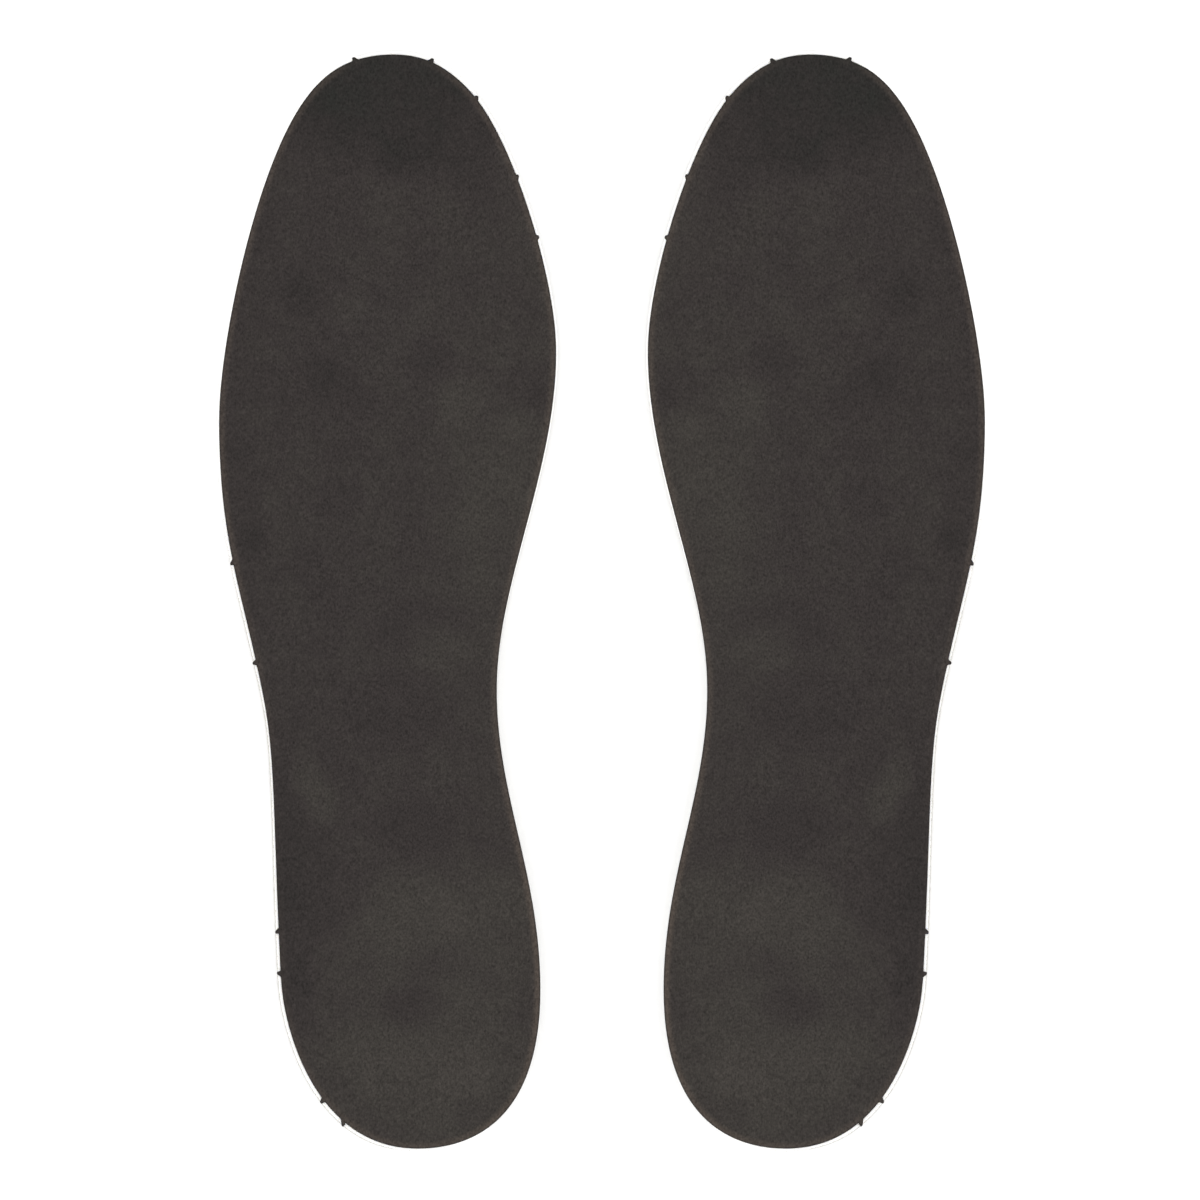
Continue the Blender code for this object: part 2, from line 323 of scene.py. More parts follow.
def pad_place(name):
    """Middle and half sizes of a pad, in foot coordinates, from its box."""
    low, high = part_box(f"left_{name}")
    middle = foot_place(np.array([(low.x + high.x) / 2 + 0.5j * (low.y + high.y)]))
    return middle[0][0], middle[1][0], (high.x - low.x) / 2, (high.y - low.y) / 2


def relief(ring, shape):
    """Height of the layers' relief: an arch, the product of a hump along and a hump away from the inner
    edge, less a round hump for the dished heel."""
    across, along = foot_place(ring)
    arch_across, arch_along, arch_half, _ = pad_place("arch_pad")
    heel_across, heel_along, _, _ = pad_place("heel_pad")
    inner_edge = arch_across + arch_half + shape.arch_pad_beside
    lengthwise = hump(np.abs(along - arch_along) / shape.arch_reach_along)
    sideways = hump((inner_edge - across) / shape.arch_reach_across)
    away = np.hypot(across - heel_across, along - heel_along) / shape.heel_dish_reach
    return shape.arch_rise * lengthwise * sideways - shape.heel_dish * hump(away)


def print_of(name, across, along, softness=0.16):
    """1 over a pad and 0 beside it, with a soft step at its rounded outline."""
    pad_across, pad_along, half_across, half_along = pad_place(name)
    sideways = np.abs((across - pad_across) / half_across) ** PAD_SQUARENESS
    lengthwise = np.abs((along - pad_along) / half_along) ** PAD_SQUARENESS
    reach = (sideways + lengthwise) ** (1 / PAD_SQUARENESS)
    return hump((reach - 1 + softness / 2) / softness)


def soft_hills(across, along, wavelength, seed, waves=14):
    """Random soft hills, whose root mean square is 1: the sum of plane waves of about one length, with
    directions and phases drawn by chance."""
    chance = np.random.default_rng(seed)
    heading = chance.uniform(0, np.pi, waves)
    phase = chance.uniform(0, 2 * np.pi, waves)
    number = 2 * np.pi / (wavelength * chance.uniform(0.7, 1.5, waves))
    run = across[..., None] * np.cos(heading) + along[..., None] * np.sin(heading)
    return np.sin(run * number + phase).sum(-1) / np.sqrt(waves / 2)


# -------------------- mesh building


def new_object(name, points, faces, material, side):
    """Puts a mesh into the scene as a smooth-shaded piece of one insole."""
    mesh = bpy.data.meshes.new(name)
    mesh.from_pydata(points.tolist(), [], faces)
    mesh.validate()
    mesh.shade_smooth()
    mesh.materials.append(material)
    piece = bpy.data.objects.new(name, mesh)
    bpy.context.scene.collection.objects.link(piece)
    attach(piece, f"{side}_insole")
    return piece


def give_attribute(piece, name, values):
    """Stores a number at each point of a piece, for its material."""
    attribute = piece.data.attributes.new(name, "FLOAT", "POINT")
    attribute.data.foreach_set("value", values.astype(np.float32).ravel())


def row_quads(rows, around):
    """Quads between neighbouring rows of points, each row closed on itself. They face outwards where the
    rows run anticlockwise from the top to the underside."""
    row, place = np.meshgrid(np.arange(rows - 1), np.arange(around), indexing="ij")
    start, below = row * around, (row + 1) * around
    after = (place + 1) % around
    return np.stack([start + place, below + place, below + after, start + after], -1).reshape(-1, 4)


def row_faces(rows, around):
    """Quads between neighbouring rows of points, and a fan of triangles at either end, for a shell whose
    two end points come after its rows."""
    place = np.arange(around)
    after = (place + 1) % around
    first = np.stack([np.full(around, rows * around), place, after], -1)
    last_row = (rows - 1) * around
    last = np.stack([np.full(around, rows * around + 1), last_row + after, last_row + place], -1)
    return row_quads(rows, around).tolist() + first.tolist() + last.tolist()


def shell(name, rings, heights, material, side):
    """A closed solid through rings of points, listed from the middle of its top, out over its edge and
    back to the middle of its underside. A point closes either end."""
    rows, around = rings.shape
    points = np.stack([rings.real, rings.imag, heights], -1).reshape(-1, 3)
    ends = np.stack([points[:around].mean(0), points[-around:].mean(0)])
    return new_object(name, np.concatenate([points, ends]), row_faces(rows, around), material, side)


def disc_rows(ring, rows):
    """Rows of points from near the middle of a ring out to the ring, by scaling it."""
    middle = ring_middle(ring)
    return middle + (ring - middle) * np.linspace(POLE_SHARE, 1, rows)[:, None]


BROKEN_EDGE = 0.05 * MM  # how far the lower edge of a cut wall is broken


def rounding(radius_in, radius_down, steps):
    """A quarter of an ellipse, as how far each step lies in from the edge and how far it has dropped."""
    turn = np.linspace(0, np.pi / 2, steps)
    return radius_in * (1 - np.sin(turn)), radius_down * (1 - np.cos(turn))


# -------------------- materials


NOISE = "ShaderNodeTexNoise"
MATH = "ShaderNodeMath"
VECTOR_MATH = "ShaderNodeVectorMath"
RAMP = "ShaderNodeValToRGB"
BUMP = "ShaderNodeBump"
ATTRIBUTE = "ShaderNodeAttribute"


def new_material(name):
    """An empty material, and its tree."""
    material = bpy.data.materials.new(name)
    material.use_nodes = True
    material.node_tree.nodes.clear()
    return material, material.node_tree


def add(tree, kind, inputs=None, stops=(), **settings):
    """Adds a node, gives it its settings, and sets each named input or links it to the output given. A
    colour ramp is also given its stops, each a position and a linear colour."""
    node = tree.nodes.new(kind)
    for name, value in settings.items():
        setattr(node, name, value)
    for name, value in (inputs or {}).items():
        if isinstance(value, bpy.types.NodeSocket):
            tree.links.new(value, node.inputs[name])
        else:
            node.inputs[name].default_value = value
    if stops:
        elements = node.color_ramp.elements
        elements.remove(elements[1])
        elements[0].position = stops[0][0]
        elements[0].color = (*stops[0][1], 1)
        for position, shade in stops[1:]:
            elements.new(position).color = (*shade, 1)
    return node


def mirrored_place(tree):
    """Object coordinates that are the same for the left and the right insole."""
    place = add(tree, "ShaderNodeTexCoord").outputs["Object"]
    split = add(tree, "ShaderNodeSeparateXYZ", {"Vector": place})
    sideways = add(tree, MATH, {0: split.outputs["X"]}, operation="ABSOLUTE")
    joined = {"X": sideways.outputs[0], "Y": split.outputs["Y"], "Z": split.outputs["Z"]}
    return add(tree, "ShaderNodeCombineXYZ", joined).outputs[0]


def weighed(tree, parts):
    """The sum of values times their weights. Each value counts from 0.5, so the sum's middle is 0."""
    total = None
    for value, weight in parts:
        centred = add(tree, MATH, {0: value, 1: 0.5}, operation="SUBTRACT").outputs[0]
        inputs = {0: centred, 1: weight, 2: 0.0 if total is None else total}
        total = add(tree, MATH, inputs, operation="MULTIPLY_ADD").outputs[0]
    return total


def surfaced(material, inputs):
    """The material, given a shader with these inputs and an output."""
    tree = material.node_tree
    shader = add(tree, "ShaderNodeBsdfPrincipled", inputs)
    add(tree, "ShaderNodeOutputMaterial", {"Surface": shader.outputs[0]})
    return material


def shades(hue, darkest, lightest, low=0.2, high=0.8):
    """Stops for a colour from dark to light: darkest times it at the position low, lightest times it at
    high."""
    ends = ((low, darkest), (high, lightest))
    return tuple((at, tuple(min(1.0, by * part) for part in hue)) for at, by in ends)


def napped_microfibre(settings):
    """Microfibre fabric with a short brushed nap. The nap scatters light in all directions and glows at a
    slant. Its colour
    carries painted light and painted shade: lighter towards the heel and the inner side, darker at the
    toe, with patches of painted light and shade over the relief and a painted highlight on the rolled
    edge. Its fibres are finer than can be
    seen, so they are drawn coarser: tufts of 0.6 mm with fibres of 0.35 mm, twice as long as broad."""
    material, tree = new_material("charcoal_napped_microfibre")
    place = mirrored_place(tree)
    tufts = add(tree, NOISE, {"Vector": place, "Scale": 1 / (0.6 * MM), "Roughness": 0.6}).outputs["Fac"]
    combed = add(tree, "ShaderNodeMapping", {"Vector": place, "Scale": (1, 0.5, 1)}).outputs[0]
    fibres = add(tree, NOISE, {"Vector": combed, "Scale": 1 / (0.35 * MM), "Detail": 1.0}).outputs["Fac"]
    cloudy = {"Vector": place, "Scale": 1 / (9 * MM), "Detail": 3.0, "Roughness": 0.6, "Distortion": 0.3}
    clouds = add(tree, NOISE, cloudy).outputs["Fac"]
    specked = {"Vector": place, "Scale": 1 / (2.5 * MM), "Detail": 3.0, "Roughness": 0.7}
    specks = add(tree, NOISE, specked).outputs["Fac"]
    # The attribute holds the nap's tone with painted light and shade over the foot.
    painted_light_and_shade = add(tree, ATTRIBUTE, attribute_name="nap_tone_painted_light_and_shade").outputs["Fac"]
    patchy = weighed(tree, ((clouds, 0.32), (specks, 0.16)))
    tone = add(tree, MATH, {0: painted_light_and_shade, 1: patchy}, operation="ADD").outputs[0]
    # The darkest stop is painted shade and the palest painted light; the stops between also carry the
    # nap's own patchy tone.
    stops = (
        (0.08, tuple(settings.deepest_painted_shade_nap)),
        (0.24, tuple(settings.dark_nap_and_painted_shade)),
        (0.4, tuple(settings.middle_nap)),
        (0.6, tuple(settings.light_nap_and_painted_light)),
        (0.8, tuple(settings.brightest_painted_light_nap)),
    )
    # brushed is the nap's colour with the painted light and shade in it.
    brushed = add(tree, RAMP, {"Fac": tone}, stops).outputs["Color"]
    # pressed is the strength of the painted highlight on the rolled edge, which mixes in its lighter
    # colour.
    pressed = add(tree, ATTRIBUTE, attribute_name="pressed").outputs["Fac"]
    mixed = {0: pressed, 6: brushed, 7: (*settings.edge_highlight_nap, 1)}
    nap_with_painted_light = add(tree, "ShaderNodeMix", mixed, data_type="RGBA").outputs[2]
    grain = weighed(tree, ((tufts, 1.2), (fibres, 1.0)))
    shade = add(tree, MATH, {0: grain, 1: 1.0}, operation="ADD").outputs[0]
    scaled = {"Vector": nap_with_painted_light, "Scale": shade}
    nap = add(tree, VECTOR_MATH, scaled, operation="SCALE").outputs[0]
    height = weighed(tree, ((tufts, 1.0), (fibres, 0.6)))
    bump = add(tree, BUMP, {"Height": height, "Strength": 0.5, "Distance": 0.12 * MM})
    shader_inputs = {
        "Base Color": nap,
        "Roughness": 0.95,
        "Specular IOR Level": 0.1,
        "Sheen Weight": 0.1,
        "Sheen Roughness": 0.45,
        "Sheen Tint": (*linear("#B7AFA6"), 1),
        "Normal": bump.outputs[0],
    }
    return surfaced(material, shader_inputs)


def latex_foam(settings):
    """Natural latex foam, cast in sheets and die-cut. It is pale and matt, lets a little light through,
    and its cut face shows open cells of about 0.45 mm, which a finer noise bends out of round."""
    material, tree = new_material("natural_latex_foam")
    place = mirrored_place(tree)
    warp = add(tree, NOISE, {"Vector": place, "Scale": 1 / (0.5 * MM)}).outputs["Color"]
    bending = {0: warp, 1: (0.35 * MM,) * 3, 2: place}
    bent = add(tree, VECTOR_MATH, bending, operation="MULTIPLY_ADD").outputs[0]
    cells = add(tree, "ShaderNodeTexVoronoi", {"Vector": bent, "Scale": 1 / (0.45 * MM)})
    depth = {"Value": cells.outputs["Distance"], "From Min": 0.05, "From Max": 0.45}
    walls = add(tree, "ShaderNodeMapRange", depth).outputs[0]
    cloudy = {"Vector": place, "Scale": 1 / (6 * MM), "Detail": 3.0, "Roughness": 0.6}
    clouds = add(tree, NOISE, cloudy).outputs["Fac"]
    # cut darkens the foam: on the wall for its open cut face, and on the rounded top edge at the outer
    # waist and heel also as painted shade.
    cut = add(tree, ATTRIBUTE, attribute_name="cut").outputs["Fac"]
    mottle = weighed(tree, ((walls, 0.3), (clouds, 0.12)))
    tone = add(tree, MATH, {0: cut, 1: -0.5, 2: mottle}, operation="MULTIPLY_ADD").outputs[0]
    tone = add(tree, MATH, {0: tone, 1: 1.0}, operation="ADD").outputs[0]
    stops = (
        (0.2, tuple(settings.pore)),
        (0.6, tuple(settings.cut_latex_and_painted_shade)),
        (0.85, tuple(settings.latex)),
    )
    skin = add(tree, RAMP, {"Fac": tone}, stops).outputs["Color"]
    bump = add(tree, BUMP, {"Height": walls, "Strength": 0.6, "Distance": 0.15 * MM})
    shader_inputs = {
        "Base Color": skin,
        "Roughness": 0.85,
        "Specular IOR Level": 0.3,
        "Subsurface Weight": 0.15,
        "Subsurface Radius": (1.0, 0.9, 0.7),
        "Subsurface Scale": 1.2 * MM,
        "Normal": bump.outputs[0],
    }
    return surfaced(material, shader_inputs)


def cushion_rubber(settings):
    """Foamed cushioning rubber, moulded. It is denser and smoother than the bed, with a dull skin that
    is grained by the mould."""
    material, tree = new_material("moulded_cushion_rubber")
    place = mirrored_place(tree)
    grainy = {"Vector": place, "Scale": 1 / (0.8 * MM), "Detail": 3.0, "Roughness": 0.6}
    skin = add(tree, NOISE, grainy).outputs["Fac"]
    clouds = add(tree, NOISE, {"Vector": place, "Scale": 1 / (7 * MM)}).outputs["Fac"]
    tone = weighed(tree, ((skin, 0.5), (clouds, 0.5)))
    centred = add(tree, MATH, {0: tone, 1: 0.5}, operation="ADD").outputs[0]
    stops = shades(settings.rubber, 0.78, 1.16)
    bump = add(tree, BUMP, {"Height": skin, "Strength": 0.3, "Distance": 0.05 * MM})
    shader_inputs = {
        "Base Color": add(tree, RAMP, {"Fac": centred}, stops).outputs["Color"],
        "Roughness": 0.62,
        "Normal": bump.outputs[0],
    }
    return surfaced(material, shader_inputs)


def pressed_fleece(settings):
    """Needled polyester fleece, pressed thin and dipped in latex. Short fibres cross each other, drawn
    as three noises, each stretched in another direction."""
    material, tree = new_material("pressed_polyester_fleece")
    place = mirrored_place(tree)
    layers = []
    for turn in (0.3, 1.35, 2.4):
        turned = {"Vector": place, "Rotation": (0, 0, turn), "Scale": (1, 7, 1)}
        laid = add(tree, "ShaderNodeMapping", turned, vector_type="TEXTURE").outputs[0]
        fibres = {"Vector": laid, "Scale": 1 / (0.4 * MM), "Roughness": 0.6}
        layers.append(add(tree, NOISE, fibres).outputs["Fac"])
    cloudy = {"Vector": place, "Scale": 1 / (8 * MM), "Detail": 3.0, "Roughness": 0.6}
    clouds = add(tree, NOISE, cloudy).outputs["Fac"]
    tone = weighed(tree, (*((layer, 0.8) for layer in layers), (clouds, 0.4)))
    centred = add(tree, MATH, {0: tone, 1: 0.5}, operation="ADD").outputs[0]
    stops = shades(settings.fleece, 0.72, 1.12, 0.1, 0.9)
    height = weighed(tree, tuple((layer, 1.0) for layer in layers))
    bump = add(tree, BUMP, {"Height": height, "Strength": 0.6, "Distance": 0.1 * MM})
    shader_inputs = {
        "Base Color": add(tree, RAMP, {"Fac": centred}, stops).outputs["Color"],
        "Roughness": 0.9,
        "Specular IOR Level": 0.2,
        "Sheen Weight": 0.15,
        "Normal": bump.outputs[0],
    }
    return surfaced(material, shader_inputs)


def printed_rubber(settings):
    """Silicone rubber printed as grip dots: smooth, a little glossy, with a slight mottle."""
    material, tree = new_material("printed_silicone_rubber")
    place = mirrored_place(tree)
    mottle = add(tree, NOISE, {"Vector": place, "Scale": 1 / (1.5 * MM)}).outputs["Fac"]
    stops = shades(settings.dots, 0.85, 1.1, 0.3, 0.7)
    bump = add(tree, BUMP, {"Height": mottle, "Strength": 0.2, "Distance": 0.05 * MM})
    shader_inputs = {
        "Base Color": add(tree, RAMP, {"Fac": mottle}, stops).outputs["Color"],
        "Roughness": 0.42,
        "Normal": bump.outputs[0],
    }
    return surfaced(material, shader_inputs)


def studio_paper(settings):
    """Matt white background paper, with the faintest unevenness."""
    material, tree = new_material("matt_white_paper")
    place = add(tree, "ShaderNodeTexCoord").outputs["Object"]
    grain = add(tree, NOISE, {"Vector": place, "Scale": 1 / (40 * MM)}).outputs["Fac"]
    tinted = add(tree, RAMP, {"Fac": grain}, shades(settings.floor, 0.985, 1, 0.3, 0.7)).outputs["Color"]
    shader_inputs = {"Base Color": tinted, "Roughness": 0.9, "Specular IOR Level": 0.2}
    return surfaced(material, shader_inputs)


# -------------------- top covers

# Where the die left the cover uncut. The place, in foot coordinates, and the length are in millimetres.
Nib = namedtuple("Nib", "across along length lean")
NIBS = (
    Nib(10.9, 268.7, 0.95, -0.2),
    Nib(22.2, 259.3, 0.70, 0.3),
    Nib(32.4, 239.8, 0.55, 0.6),
    Nib(37.5, 225.0, 0.60, 0.0),
    Nib(-11.1, 6.8, 1.10, 0.7),
    Nib(-16.5, 11.7, 1.05, 0.2),
    Nib(-26.9, 43.1, 0.90, -0.3),
    Nib(-27.4, 53.7, 0.85, 0.4),
    Nib(-32.6, 120.0, 0.90, 0.1),
    Nib(-37.5, 144.8, 0.75, 0.5),
    Nib(-8.1, 268.9, 0.85, 0.3),
)

# Patches of painted light, above 0, and painted shade, below 0: the toe and the edges of the relief are
# shaded, and the heel and inner side are lit. Their middles and half sizes are in foot coordinates in
# millimetres.
LightAndShadePatch = namedtuple("LightAndShadePatch", "across along half_across half_along tone")
PAINTED_LIGHT_AND_SHADE_PATCHES = (
    LightAndShadePatch(0, 275, 48, 41, -0.285),
    LightAndShadePatch(6, 244, 11, 8, -0.08),
    LightAndShadePatch(-8, 257, 10, 7, -0.05),
    LightAndShadePatch(21, 240, 9, 10, -0.09),
    LightAndShadePatch(24, 250, 5, 6, -0.08),
    LightAndShadePatch(-22, 210, 7, 7, -0.09),
    LightAndShadePatch(-10, 208, 8, 8, 0.05),
    LightAndShadePatch(-14, 191, 8, 8, -0.09),
    LightAndShadePatch(9, 195, 10, 9, -0.06),
    LightAndShadePatch(34, 188, 7, 10, -0.07),
    LightAndShadePatch(18, 185, 9, 7, 0.10),
    LightAndShadePatch(29, 166, 16, 22, 0.10),
    LightAndShadePatch(14, 171, 10, 10, 0.05),
    LightAndShadePatch(20, 147, 15, 15, 0.08),
    LightAndShadePatch(-12, 160, 9, 7, -0.07),
    LightAndShadePatch(-24, 160, 9, 9, 0.04),
    LightAndShadePatch(-34, 150, 5, 6, -0.14),
    LightAndShadePatch(9, 133, 11, 4, -0.05),
    LightAndShadePatch(0, 128, 6, 6, -0.05),
    LightAndShadePatch(14, 122, 12, 7, 0.08),
    LightAndShadePatch(3, 108, 18, 14, -0.08),
    LightAndShadePatch(-20, 91, 5, 9, 0.10),
    LightAndShadePatch(-16, 85, 5, 7, 0.10),
    LightAndShadePatch(-27, 76, 8, 26, -0.08),
    LightAndShadePatch(5, 79, 15, 8, -0.10),
    LightAndShadePatch(24, 78, 13, 6, -0.05),
    LightAndShadePatch(-20, 62, 11, 20, -0.09),
    LightAndShadePatch(-24, 38, 8, 18, -0.07),
    LightAndShadePatch(6, 58, 17, 15, 0.15),
    LightAndShadePatch(25, 60, 16, 15, 0.12),
    LightAndShadePatch(-6, 48, 15, 11, 0.10),
    LightAndShadePatch(6, 35, 11, 7, -0.17),
    LightAndShadePatch(24, 43, 14, 12, 0.09),
    LightAndShadePatch(8, 20, 35, 26, 0.165),
    LightAndShadePatch(6, 11, 8, 6, -0.06),
    LightAndShadePatch(20, 9, 7, 5, -0.08),
)


NAP_TONE = 0.445
# Painted light: the nap is lighter towards the inner side, where the light falls.
PAINTED_LIGHT_TILT = 0.04  # over 40 mm towards the inner side


def nap_tone_painted_light_and_shade(ring):
    """The tone of the nap, as a position on the cover's colour ramp, with painted light and shade on it:
    a slight rise towards the inner side, which is painted light, plus a flat-topped hump for each patch,
    painted light where the patch is above 0 and painted shade where it is below."""
    across, along = foot_place(ring)
    tone = NAP_TONE + PAINTED_LIGHT_TILT * across / (40 * MM)
    for patch in PAINTED_LIGHT_AND_SHADE_PATCHES:
        sideways = (across - patch.across * MM) / (patch.half_across * MM)
        lengthwise = (along - patch.along * MM) / (patch.half_along * MM)
        tone += patch.tone * hump(sideways**2 + lengthwise**2)
    return tone


# Where along the foot the painted highlight on the rolled edge is faintest on the outer side and heaviest
# on the inner side, and how far either reaches.
FAINT_AT, FAINT_REACH = 75 * MM, 75 * MM
HEAVY_AT, HEAVY_REACH = 45 * MM, 70 * MM


def painted_edge_highlight(edge, from_edge, settings):
    """How strong the painted highlight on the rolled edge is, from 0 to 1: a hump a little in from the
    edge, which fades out at the toe tip and along the outer waist and heel, where the edge faces away
    from the light, and is heavier along the inner heel, which faces it."""
    along = foot_place(edge.points)[1]
    outwards = facing_outwards(edge)
    faint = np.clip(3 * outwards, 0, 1) * hump(np.abs(along - FAINT_AT) / FAINT_REACH) ** 0.6
    heavy = np.clip(-2 * outwards, 0, 1) * hump(np.abs(along - HEAVY_AT) / HEAVY_REACH) ** 0.6
    strength = (1 - 0.9 * faint + 0.7 * heavy) * (1 - np.clip(4 * edge.outward.imag - 3, 0, 1))
    beyond = from_edge - settings.highlight_at
    reach = np.where(beyond > 0, settings.highlight_width, settings.highlight_at)
    return settings.highlight_share * hump(np.abs(beyond) / reach) * strength


def nib_tabs(edge, places, mirror, settings):
    """How far each point of the edge is moved: outwards by a flat-topped hump over each nib, and
    sideways by the nib's lean, which the right cover has mirrored."""
    moved = np.zeros(len(edge.points), complex)
    for nib, place in zip(NIBS, places):
        nearest = edge.points[np.argmin(np.abs(edge.points - place))]
        away = np.abs(edge.points - nearest) / (settings.nib_width / 2)
        moved += nib.length * MM * np.exp(-(away**4)) * edge.outward * (1 - 1j * mirror * nib.lean)
    return moved


COVER_ROWS = 64
COVER_UNDER_ROWS = 24
BAND = 2.5  # the breadth along the edge where the rows lie closer, in breadths of the rolled edge

# Where the rows on the rolled edge lie, as shares of its breadth from the edge.
ROLL_STEPS = np.array([0.85, 0.7, 0.57, 0.45, 0.34, 0.24, 0.16, 0.09, 0.04, 0.01, 0])


def cover_top(edge, tabs, high, shape, settings):
    """The upper side of a cover, as rows, their heights and their distances from the edge. It follows
    the relief, with soft hills and the pads' print on it. Its edge rolls down by a quarter of an
    ellipse."""
    band = BAND * settings.roll_width
    flat_steps = np.linspace(band, settings.roll_width, 8)[1:]
    edge_in = np.concatenate([flat_steps, ROLL_STEPS * settings.roll_width])
    inside_roll = np.clip(1 - edge_in / settings.roll_width, 0, 1)
    edge_down = settings.roll_drop * (1 - np.sqrt(1 - inside_roll**2))
    standing_out = tabs * inside_roll[:, None] ** 2
    inner = disc_rows(edge.points - edge.outward * band, COVER_ROWS)
    top = np.concatenate([inner, edge.points - edge.outward * edge_in[:, None] + standing_out])
    drop = np.concatenate([np.zeros(len(inner)), edge_down])[:, None]
    from_edge = np.concatenate([np.full(len(inner), band), edge_in])[:, None]

    across, along = foot_place(top)
    hills = soft_hills(across, along, 24 * MM, 3) + 0.5 * soft_hills(across, along, 10 * MM, 4)
    pads = print_of("heel_pad", across, along) + print_of("arch_pad", across, along)
    fade = np.clip(from_edge / band, 0, 1)
    surface = high - shape.arch_rise + relief(top, shape) - drop
    return top, surface + fade * (settings.waviness * hills + settings.pad_print * (pads - 1)), from_edge


def cover_underside(edge, tabs, shape, settings):
    """The underside of a cover, as rows and their heights. It follows the relief of the foam bed."""
    foam_low, foam_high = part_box("left_foam_bed")
    glue = foam_low.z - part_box("left_base_sheet")[1].z
    level = foam_high.z - shape.arch_rise + glue * (1 - shape.glue_fill / 2)
    rim = edge.points - edge.outward * BROKEN_EDGE + tabs
    band = BAND * settings.roll_width
    inner = disc_rows(edge.points - edge.outward * band, COVER_UNDER_ROWS)
    bottom = np.concatenate([rim[None], inner[::-1]])
    return bottom, level + relief(bottom, shape)


def build_cover(side, material, shape, settings):
    """One napped cover: an upper side, an upright cut edge with nibs, and an underside."""
    ring = wall_outline(f"{side}_top_cover")
    low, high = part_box("left_top_cover")
    mirror = 1 if side == "right" else -1
    ball_middle = -(low.x + high.x) / 2
    places = [mirror * (ball_middle - nib.across * MM) + 1j * (low.y + nib.along * MM) for nib in NIBS]
    edge = edge_of(ring, settings.points, places)
    tabs = nib_tabs(edge, places, mirror, settings)
    top, upper, from_edge = cover_top(edge, tabs, high.z, shape, settings)
    bottom, lower = cover_underside(edge, tabs, shape, settings)
    rings = np.concatenate([top, (edge.points + tabs)[None], bottom])
    heights = np.concatenate([upper, (upper[-1:] + lower[:1]) / 2, lower])

    cover = shell(f"{side}_cover_fabric", rings, heights, material, side)
    # pressed holds the painted highlight on the rolled edge.
    pressed = np.zeros(rings.shape)
    pressed[: len(top)] = painted_edge_highlight(edge, from_edge, settings)
    for name, values in (("nap_tone_painted_light_and_shade", nap_tone_painted_light_and_shade(rings)), ("pressed", pressed)):
        give_attribute(cover, name, np.concatenate([values.ravel(), values[[0, -1]].mean(1)]))
    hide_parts(f"{side}_top_cover")
    ring_area(ring)


class INSOLE_OT_covers(bpy.types.Operator):
    """Builds the two napped fabric covers"""

    bl_idname = "insole.covers"
    bl_label = "Top Covers"

    def execute(self, context):
        scene = context.scene
        material = napped_microfibre(scene.insole_cover)
        for side in SIDES:
            build_cover(side, material, scene.insole_shape, scene.insole_cover)
        return {"FINISHED"}


# -------------------- foam beds


PAD_TOP_ROWS = 36
PAD_UNDER_ROWS = 12
FOAM_ROWS = 40
FOAM_WALL_ROWS = 12
FOAM_UNDER_ROWS = 6
POCKET_POINTS = 96
POCKET_RADIUS = 0.3 * MM
POCKET_CLEARANCE = 0.15 * MM

# The foam's wall leans in over the first length from the heel end, and the lean fades out over the next.
LEAN_END, LEAN_FADE = 125 * MM, 60 * MM


def pad_rings(node, points, edge_radius, grown=0.0):
    """Rows of points and heights of a pad, from the middle of its top to the middle of its flat
    underside. A crowned pad rises from its rim to its middle as an upturned parabola."""
    low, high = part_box(node)
    edge = edge_of(wall_outline(node), points)
    rim = wall_corners(node)[:, 2].max()
    crown = high.z - rim
    roll_in, roll_down = rounding(edge_radius, edge_radius, 5)
    inner = disc_rows(edge.points - edge.outward * (edge_radius - grown), PAD_TOP_ROWS)
    share = np.linspace(POLE_SHARE, 1, PAD_TOP_ROWS)
    rolled = edge.points + edge.outward * (grown - roll_in[1:, None])
    under = disc_rows(edge.points + edge.outward * grown, PAD_UNDER_ROWS)[::-1]
    rings = np.concatenate([inner, rolled, under])
    heights = np.concatenate([
        high.z + grown - crown * share**2,
        rim + grown - roll_down[1:],
        np.full(PAD_UNDER_ROWS, low.z),
    ])
    return rings, np.broadcast_to(heights[:, None], rings.shape).copy()


def cut_pockets(foam, side):
    """Cuts a pocket for each pad into the foam's underside, a little larger than the pad. The cutter
    stands out 1 mm below the pad, so that the pocket is open."""
    for pad in PADS:
        rings, heights = pad_rings(f"{side}_{pad}", POCKET_POINTS, POCKET_RADIUS, POCKET_CLEARANCE)
        heights[-PAD_UNDER_ROWS:] -= MM
        cutter = shell(f"{side}_{pad}_pocket", rings, heights, foam.data.materials[0], side)
        cut = foam.modifiers.new(pad, "BOOLEAN")
        cut.operation = "DIFFERENCE"
        cut.solver = "EXACT"
        cut.object = cutter
    graph = bpy.context.evaluated_depsgraph_get()
    cut_mesh = bpy.data.meshes.new_from_object(foam.evaluated_get(graph))
    cutters = [modifier.object for modifier in foam.modifiers]
    foam.modifiers.clear()
    foam.data = cut_mesh
    for cutter in cutters:
        bpy.data.objects.remove(cutter)


